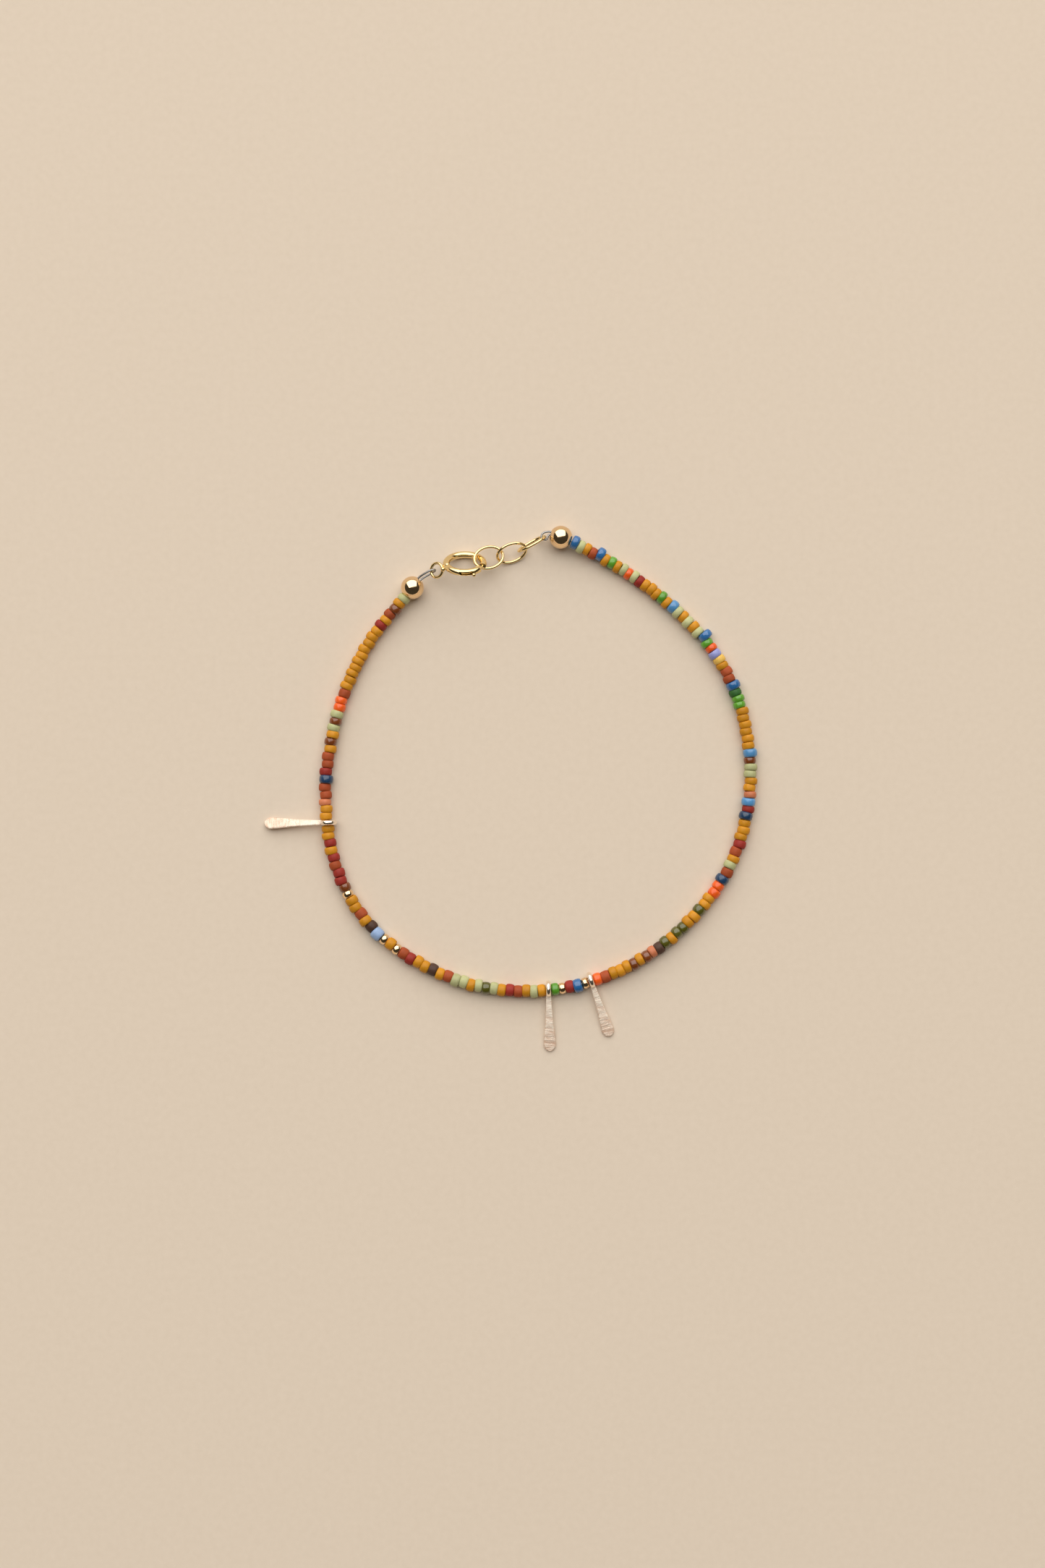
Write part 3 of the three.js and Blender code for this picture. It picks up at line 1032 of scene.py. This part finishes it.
for k, link in enumerate(LINKS):
    bm = bmesh.new()
    path = oval(LINK_LENGTH - LINK_WIRE, LINK_WIDTH - LINK_WIRE, LINK_STEPS)
    round_wire(bm, path, LINK_WIRE, LINK_SIDES, closed=True)
    bmesh.ops.transform(bm, matrix=turned(**link), verts=bm.verts)
    make_piece(bm, f"oval_link_{k + 1}", f"chain_link_{k + 1}", link_gold, subdivisions=1)

# %% [markdown]
# The clasp is a spring ring: a hollow ring with a gap, a slot for the trigger, and an eyelet soldered
# on. The ring is two tubes, one inside the other, joined at both ends of the gap and round the slot.

# %% Spring ring
CLASP_CENTRE = (-7.83, 38.7, 3.25)
CLASP_TILT = math.radians(-56)
CLASP_RADIUS = 3.2
CLASP_TUBE = 1.2
CLASP_BORE = 0.76
GAP_UPPER_END = math.radians(-16)
GAP_LOWER_END = math.radians(-40)
TRIGGER_ANGLE = math.radians(-68)
TRIGGER_TRAVEL = math.radians(30)
SLOT_MARGIN = math.radians(6)
SLOT_REACH = 0.3
RING_STEPS = 90
TUBE_SIDES = 16
EDGE_BEVEL = 0.03
clasp_place = Matrix.Translation(CLASP_CENTRE) @ Matrix.Rotation(CLASP_TILT, 4, "X")


def arc(radius, start, end, steps):
    turns = [start + (end - start) * k / steps for k in range(steps + 1)]
    return [Vector((radius * math.cos(t), radius * math.sin(t), 0)) for t in turns]


def ring_tube(bm, diameter):
    """An open tube round the ring, with a flat of its section facing outwards."""
    path = arc(CLASP_RADIUS, GAP_UPPER_END, GAP_LOWER_END + FULL_TURN, RING_STEPS)
    half_side = Matrix.Rotation(math.pi / TUBE_SIDES, 4, "Z")
    radii = [diameter / 2] * len(path)
    frames = [frame_at(place, UPRIGHT.cross(place), UPRIGHT) for place in path]
    frames = [frame @ half_side for frame in sized(frames, radii, radii)]
    return draw_wire(bm, frames, TUBE_SIDES, caps=False)


def in_slot(face):
    """Whether a face of either tube lies where the trigger passes."""
    middle = face.calc_center_median()
    angle = math.atan2(middle.y, middle.x)
    first = TRIGGER_ANGLE - TRIGGER_TRAVEL - SLOT_MARGIN
    outwards = math.hypot(middle.x, middle.y) > CLASP_RADIUS
    return outwards and abs(middle.z) < SLOT_REACH and first < angle < TRIGGER_ANGLE + SLOT_MARGIN


bm = bmesh.new()
outer_start, outer_end = ring_tube(bm, CLASP_TUBE)
inner_start, inner_end = ring_tube(bm, CLASP_BORE)
bmesh.ops.bridge_loops(bm, edges=outer_start + inner_start)
bmesh.ops.bridge_loops(bm, edges=outer_end + inner_end)
slot_faces = [face for face in bm.faces if in_slot(face)]
bmesh.ops.delete(bm, geom=slot_faces, context="FACES")
slot_rims = [edge for edge in bm.edges if edge.is_boundary]
bmesh.ops.bridge_loops(bm, edges=slot_rims)
bmesh.ops.transform(bm, matrix=clasp_place, verts=bm.verts)
print("slot opened through", len(slot_faces), "faces")

# %% [markdown]
# The eyelet is a small ring of wire, and the collar a bead of solder between it and the clasp's ring. A
# second bead of solder shows on top of the joint. All of them belong to the ring, so they go into its
# mesh.

# %% Eyelet and collar
EYELET_CENTRE = Vector((-12.66, 37.56, 3.1))
EYELET_RADIUS = 1.225
EYELET_WIRE = 0.5
EYELET_TILT = math.radians(35)
EYELET_ANGLE = math.radians(197)
COLLAR_REACH = 0.85
COLLAR_RADIUS = 0.44
SOLDER_RADIUS = 0.46
SOLDER_OFFSET = Vector((0.06, 0.14, 0.42))
SOLDER_SIDES = 20
SOLDER_RINGS = 14
EYELET_STEPS = 32
EYELET_SIDES = 12

ring_verts = set(bm.verts)
path = oval(2 * EYELET_RADIUS, 2 * EYELET_RADIUS, EYELET_STEPS)
round_wire(bm, path, EYELET_WIRE, EYELET_SIDES, closed=True)
eyelet_place = Matrix.Translation(EYELET_CENTRE) @ Matrix.Rotation(-EYELET_TILT, 4, "Y")
bmesh.ops.transform(bm, matrix=eyelet_place, verts=added(bm, ring_verts))
tube_centre = clasp_place @ arc(CLASP_RADIUS, EYELET_ANGLE, EYELET_ANGLE, 1)[0]
wire_centre = eyelet_place @ Vector((EYELET_RADIUS, 0, 0))
collar_centre = tube_centre + (wire_centre - tube_centre).normalized() * COLLAR_REACH
solder_centre = tube_centre + SOLDER_OFFSET
for centre, radius in ((collar_centre, COLLAR_RADIUS), (solder_centre, SOLDER_RADIUS)):
    bmesh.ops.create_uvsphere(
        bm,
        u_segments=SOLDER_SIDES,
        v_segments=SOLDER_RINGS,
        radius=radius,
        matrix=Matrix.Translation(centre),
    )
make_piece(bm, "spring_ring", "clasp_ring", link_gold, bevel=EDGE_BEVEL)

# %% [markdown]
# The bolt is a bent bar inside the ring that closes its gap. It is pulled back by a trigger, a stem with
# a small head that stands out through the slot. The bolt moves, so it rides on its own body.

# %% Bolt and trigger
BOLT_DIAMETER = 0.48
BOLT_TIP = math.radians(-11)
BOLT_TAIL = math.radians(-100)
BOLT_STEPS = 24
BOLT_SIDES = 12
STEM_DIAMETER = 0.4
STANDOFF = 0.45
HEAD_DIAMETER = 0.66
HEAD_TOP = 0.46
HEAD_HEIGHT = 0.5
HEAD_SIDES = 20
UNDERCUT = 0.06
RIM_BOTTOM = 0.04
RIM_TOP = 0.18
CROWN_SHARE = 0.9

bm = bmesh.new()
path = arc(CLASP_RADIUS, BOLT_TAIL, BOLT_TIP, BOLT_STEPS)
round_wire(bm, path, BOLT_DIAMETER, BOLT_SIDES)
bar_verts = set(bm.verts)
stem_top = CLASP_TUBE / 2 + STANDOFF
stem_radius = STEM_DIAMETER / 2
profile = [
    (0.0, 0.0),
    (stem_radius, 0.0),
    (stem_radius, stem_top - UNDERCUT),
    (HEAD_DIAMETER / 2, stem_top + RIM_BOTTOM),
    (HEAD_DIAMETER / 2, stem_top + RIM_TOP),
    (HEAD_TOP / 2, stem_top + CROWN_SHARE * HEAD_HEIGHT),
    (0.0, stem_top + HEAD_HEIGHT),
]
spin_profile(bm, profile, HEAD_SIDES, closed=False)
stand_out = Matrix.Rotation(TRIGGER_ANGLE, 4, "Z") @ Matrix.Translation((CLASP_RADIUS, 0, 0))
stand_out = stand_out @ Matrix.Rotation(math.pi / 2, 4, "Y")
bmesh.ops.transform(bm, matrix=stand_out, verts=added(bm, bar_verts))
bmesh.ops.transform(bm, matrix=clasp_place, verts=bm.verts)
make_piece(bm, "spring_bolt", "clasp_bolt", link_gold, body="bolt", bevel=EDGE_BEVEL)

# %% [markdown]
# At each end the wire leaves the gold ball, turns round the eyelet or the last link, and goes back into
# the ball, where a crimp holds it out of sight.

# %% Wire ends
WIRE_END_STEPS = 6
WIRE_END_SIDES = 10
WIRE_ENDS = {
    "left": [
        (-16.84, 35.12, 2.04),
        (-15.82, 36.35, 2.2),
        (-14.7, 37.05, 2.75),
        (-13.7, 37.55, 3.02),
        (-13.0, 37.68, 2.7),
        (-13.1, 37.45, 2.05),
        (-14.2, 36.85, 1.75),
        (-15.42, 36.01, 2.1),
        (-16.44, 34.79, 2.04),
    ],
    "right": [
        (8.41, 43.73, 2.0),
        (6.91, 44.28, 2.1),
        (6.2, 44.25, 2.15),
        (5.57, 43.98, 2.2),
        (5.34, 43.16, 2.2),
        (6.15, 42.93, 2.15),
        (6.42, 43.35, 2.1),
        (6.85, 43.78, 2.08),
        (8.24, 43.24, 2.0),
    ],
}
for side, points in WIRE_ENDS.items():
    bm = bmesh.new()
    round_wire(bm, smooth_path(points, WIRE_END_STEPS), WIRE_DIAMETER, WIRE_END_SIDES)
    make_piece(bm, f"wire_end_{side}", f"wire_loop_{side}", steel_wire)
